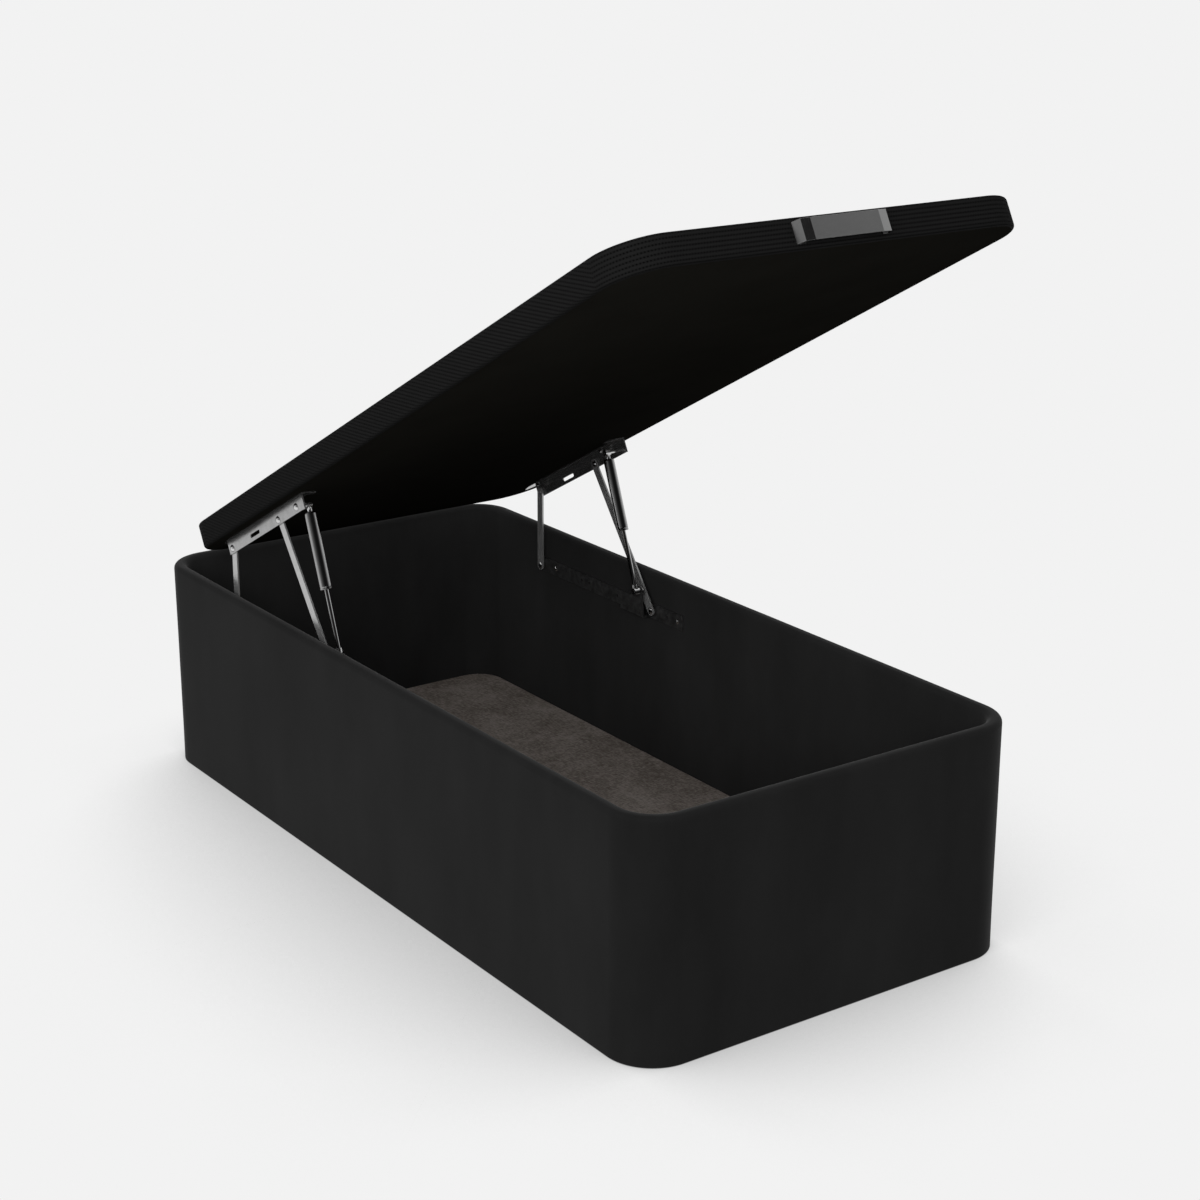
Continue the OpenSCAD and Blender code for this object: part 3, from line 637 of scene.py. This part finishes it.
def makePlatformUnderside():
    s, t = platformSettings, undersideShape
    inset = s["edgeRadius"] + t["gap"]
    halfX, halfY, corner = s["width"] / 2 - inset, s["length"] / 2 - inset, s["cornerRadius"] - inset
    bm = roundedBlock((2 * halfX, 2 * halfY, t["thick"]), corner, s["corners"])
    bmesh.ops.translate(bm, vec=(0, 0, t["thick"] / 2), verts=bm.verts)
    roundEdges(bm, edgesAt(bm, 0.0), t["rimRadius"], t["rimSteps"])
    bmesh.ops.transform(bm, matrix=platformPlace, verts=bm.verts)
    piece = finishPiece(bm, "platformUnderside", spunbond, "lid", ["lid_underside"], 50.0)
    return piece


makePlatformBorder()
makePlatformTop()
makePlatformUnderside()
print("platform cloths made")


# Hard parts keep the frame's own shape, with their pressed and cut edges softened.
# An edge is softened where its faces turn by more than turnAngle.
softenSettings = {"weld": 2e-6, "flatAngle": 0.6, "turnAngle": 32.0, "segments": 2}
# Each pair of parts: its metal, its slot and the width of its softened edges
hardParts = {
    "rail": ("darkSteel", "satin_steel", 0.0004),
    "rail_screws": ("brightSteel", "bright_steel", 0.0),
    "strut_ear": ("darkSteel", "satin_steel", 0.0004),
    "ball_stud": ("brightSteel", "bright_steel", 0.0),
    "base_pivots": ("domeSteel", "bright_steel", 0.0),
    "rear_arm": ("barSteel", "satin_steel", 0.0003),
    "front_arm": ("barSteel", "satin_steel", 0.0003),
    "strut_rod": ("rodChrome", "strut_rod_chrome", 0.0),
    "ball_socket": ("zincSteel", "bright_steel", 0.0005),
    "strut_eye": ("zincSteel", "bright_steel", 0.0),
    "lid_bracket": ("satinSteel", "satin_steel", 0.0004),
    "lid_bolts": ("brightSteel", "bright_steel", 0.0003),
    "lid_rivets": ("domeSteel", "bright_steel", 0.0),
}


def softenedCopy(nodeName, pieceName, material, width, sharpAngle=20.0):
    s = softenSettings
    node = nodes[nodeName]
    bm = bmesh.new()
    bm.from_mesh(node.data)
    bmesh.ops.remove_doubles(bm, verts=bm.verts, dist=s["weld"])
    bmesh.ops.dissolve_limit(bm, angle_limit=math.radians(s["flatAngle"]), verts=bm.verts, edges=bm.edges)
    limit = math.radians(s["turnAngle"])
    edges = [e for e in bm.edges if len(e.link_faces) == 2 and e.calc_face_angle(0) > limit]
    if width > 0:
        roundEdges(bm, edges, width, s["segments"], clamp=True)
    return finishPiece(bm, pieceName, material, node["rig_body"], [nodeName], sharpAngle)


def pieceNameFor(nodeName):
    words = nodeName.split("_")
    return words[0] + "".join(w.capitalize() for w in words[1:])


for stem, (metal, slot, width) in hardParts.items():
    for side in ("left", "right"):
        nodeName = stem + "_" + side
        softenedCopy(nodeName, pieceNameFor(nodeName), metals[metal], width)
softenedCopy("handle", "pullHandle", metals["polishedSteel"], 0.0007, sharpAngle=5.0)
softenedCopy("handle_screws", "handleScrews", metals["brightSteel"], 0.0006)
softenedCopy("floor_panel", "floorPanel", linenBoard, 0.0008)
print("hard parts made")


# Strut tubes: rolled at the rod's end, crimped at the eye's. Each row of an end's profile says how far the surface
# lies inside the tube's radius and how far it lies from that end.
tubeSettings = {
    "radius": 0.0125, "bore": 0.0052, "crimpBore": 0.0062, "pole": 0.0001, "lowBall": (0.383, 0.215, 0.438),
    "rodEnd": [(0.0030, 0.0), (0.0006, 0.0004), (0.0, 0.0012), (0.0, 0.0034), (0.0006, 0.0040), (0.0006, 0.0052),
               (0.0002, 0.0058), (0.0002, 0.0070)],
    "eyeEnd": [(0.0002, 0.0044), (0.0002, 0.0024), (0.0008, 0.0010), (0.0026, 0.0002)],
    "steps": 40,
}


def makeStrutTube(side):
    s = tubeSettings
    x, y, z = s["lowBall"]
    lowBall = Vector((x if side == "right" else -x, y, z))
    points = [v.co.copy() for v in nodes["strut_tube_" + side].data.vertices]
    axis = sum(points, Vector()) / len(points) - lowBall
    axis.x = 0
    axis.normalize()
    spans = [(p - lowBall).dot(axis) for p in points]
    start, end = min(spans), max(spans)
    profile = [(s["bore"], start)]
    profile += [(s["radius"] - inside, start + away) for inside, away in s["rodEnd"]]
    profile += [(s["radius"] - inside, end - away) for inside, away in s["eyeEnd"]]
    profile += [(s["crimpBore"], end), (s["pole"], end)]
    bm = bmesh.new()
    verts = [bm.verts.new((across, 0, along)) for across, along in profile]
    edges = [bm.edges.new((a, b)) for a, b in zip(verts, verts[1:])]
    bmesh.ops.spin(bm, geom=verts + edges, cent=(0, 0, 0), axis=(0, 0, 1), angle=2 * math.pi, steps=s["steps"],
                   use_merge=True)
    bmesh.ops.remove_doubles(bm, verts=bm.verts, dist=1e-5)
    holes = [e for e in bm.edges if e.is_boundary]
    bmesh.ops.contextual_create(bm, geom=holes)
    bmesh.ops.recalc_face_normals(bm, faces=bm.faces)
    turn = Vector((0, 0, 1)).rotation_difference(axis).to_matrix().to_4x4()
    bmesh.ops.transform(bm, matrix=Matrix.Translation(lowBall) @ turn, verts=bm.verts)
    return finishPiece(bm, "strutTube" + side.capitalize(), metals["strutPaint"], "strut_cylinder_" + side,
                       ["strut_tube_" + side], 50.0)


for side in ("left", "right"):
    makeStrutTube(side)
print("strut tubes made")


# Boards, bars and pads under the cloth keep the frame's solids
plainNodes = {
    "side_board_left": pineLong, "side_board_right": pineLong, "foot_board": pineCross, "head_board": pineCross,
    "corner_board_foot_left": pineCross, "corner_board_foot_right": pineCross, "corner_board_head_left": pineCross,
    "corner_board_head_right": pineCross, "floor_batten_1": pineCross, "floor_batten_2": pineCross,
    "floor_batten_3": pineCross, "floor_batten_4": pineCross, "lid_frame": pineLong, "lid_crossbars": pineCross,
    "lid_deck": pineLong, "foot_pads": greyPlastic,
}
for name, material in plainNodes.items():
    node = nodes[name]
    node.data.materials.clear()
    node.data.materials.append(material)
print("boards finished")


# Stage: a pale floor, an even pale room and two soft lamps on the left
stageSettings = {
    "room": 0.68, "white": 0.888, "floorGlow": 0.28, "shadeReach": 3.0, "shadeSamples": 16, "openSky": 0.80,
    "floorHalf": 70.0, "lampTarget": (0, 0, 0.45),
}
# The screen's tones run from its left end to its right one, by angle from its middle
screenSettings = {
    "radius": 9.0, "lowEnd": -0.5, "highEnd": 14.0, "turn": -33.6, "halfAngle": 110.0, "steps": 36,
    "tones": [(-97.0, 0.888), (-70.0, 0.48), (-48.0, 0.22), (-28.0, 0.09), (-10.0, 0.03), (12.0, 0.015), (50.0, 0.018),
              (64.0, 0.026), (79.0, 0.25), (88.0, 0.33), (106.0, 0.80)],
}
# Each soft lamp: where it stands, its power, width and height
lampSettings = {
    "leftLamp": ((-4.2, -1.9, 2.4), 96.0, 3.4, 2.2),
    "frontLamp": ((-2.9, -4.4, 2.6), 84.0, 2.2, 1.4),
}
white = (1, 1, 1, 1)


def seenRays(tree):
    # Seen directly, in a reflection or through something, but not as light on a surface
    path = tree.nodes.new("ShaderNodeLightPath").outputs
    return calc(tree, "ADD", calc(tree, "ADD", path["Is Camera Ray"], path["Is Glossy Ray"]),
                path["Is Transmission Ray"], clamp=True)


def newGlow(name):
    # A material without a shader yet, and its output
    material, tree, shader = newMaterial(name)
    tree.nodes.remove(shader)
    return material, tree, nodeOfType(tree, "OUTPUT_MATERIAL")


def makeRoom():
    s = stageSettings
    world = bpy.data.worlds.new("paleRoom")
    bpy.context.scene.world = world
    world.use_nodes = True
    tree = world.node_tree
    strength = calc(tree, "MULTIPLY_ADD", seenRays(tree), s["white"] - s["room"], s["room"])
    feed(tree, nodeOfType(tree, "BACKGROUND"), {"Color": white, "Strength": strength})


def makeFloorPaint():
    # Even and pale, with the soft contact shade of what stands on it
    s = stageSettings
    material, tree, output = newGlow("paleFloorPaint")
    shade = addNode(tree, "ShaderNodeAmbientOcclusion", {"Distance": s["shadeReach"]})
    shade.samples = s["shadeSamples"]
    shaded = calc(tree, "MULTIPLY", calc(tree, "DIVIDE", shade.outputs["AO"], s["openSky"], clamp=True), s["white"])
    seen = seenRays(tree)
    unseen = calc(tree, "SUBTRACT", 1.0, seen)
    glow = addNode(tree, "ShaderNodeEmission", {
        "Color": white, "Strength": mixOf(tree, (seen, shaded), (unseen, s["floorGlow"]))})
    feed(tree, output, {"Surface": glow.outputs[0]})
    return material


def makeFloor():
    bm = bmesh.new()
    bmesh.ops.create_grid(bm, x_segments=2, y_segments=2, size=stageSettings["floorHalf"])
    addObject(bm, "paleFloor", makeFloorPaint())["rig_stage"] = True


def makeScreenCloth():
    t = screenSettings
    material, tree, output = newGlow("screenCloth")
    place = separate(tree, coordinates(tree, turn=(0, 0, math.radians(-t["turn"]))))
    across = calc(tree, "ARCTAN2", place["X"], calc(tree, "MULTIPLY", place["Y"], -1.0))
    share = calc(tree, "MULTIPLY_ADD", across, 0.5 / math.radians(t["halfAngle"]), 0.5, clamp=True)
    stops = [(0.5 + 0.5 * angle / t["halfAngle"], grey(level)) for angle, level in t["tones"]]
    glow = addNode(tree, "ShaderNodeEmission", {"Color": rampFrom(tree, share, stops), "Strength": 1.0})
    feed(tree, output, {"Surface": glow.outputs[0]})
    return material


def makeScreen():
    # A dark cloth round the camera's side, seen only in the metals' reflections, where it gives them dark middles
    t = screenSettings
    bm = bmesh.new()
    low = bm.verts.new((0, -t["radius"], t["lowEnd"]))
    high = bm.verts.new((0, -t["radius"], t["highEnd"]))
    edge = bm.edges.new((low, high))
    for sense in (-1, 1):
        bmesh.ops.spin(bm, geom=[low, high, edge], cent=(0, 0, 0), axis=(0, 0, 1),
                       angle=sense * math.radians(t["halfAngle"]), steps=t["steps"], use_merge=False)
    bmesh.ops.remove_doubles(bm, verts=bm.verts, dist=1e-4)
    turn = Matrix.Rotation(math.radians(t["turn"]), 3, "Z")
    bmesh.ops.rotate(bm, cent=(0, 0, 0), matrix=turn, verts=bm.verts)
    screen = addObject(bm, "darkScreen", makeScreenCloth())
    screen.visible_camera = False
    screen.visible_diffuse = False
    screen.visible_shadow = False
    screen.visible_transmission = False
    screen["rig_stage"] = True


def makeLamps():
    # The lamps are for the bed alone, so the floor keeps one even tone
    lit = bpy.data.collections.new("litByLamps")
    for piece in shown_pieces():
        lit.objects.link(piece)
    for name, (place, power, width, height) in lampSettings.items():
        lampData = bpy.data.lights.new(name, "AREA")
        lampData.shape = "RECTANGLE"
        lampData.size, lampData.size_y = width, height
        lampData.energy = power
        lamp = bpy.data.objects.new(name, lampData)
        bpy.context.scene.collection.objects.link(lamp)
        lamp.location = place
        aim = Vector(stageSettings["lampTarget"]) - lamp.location
        lamp.rotation_euler = aim.to_track_quat("-Z", "Y").to_euler()
        lamp.visible_camera = False
        lamp.visible_glossy = False
        lamp.light_linking.receiver_collection = lit


makeRoom()
makeFloor()
makeScreen()
makeLamps()
print("stage and lamps made")
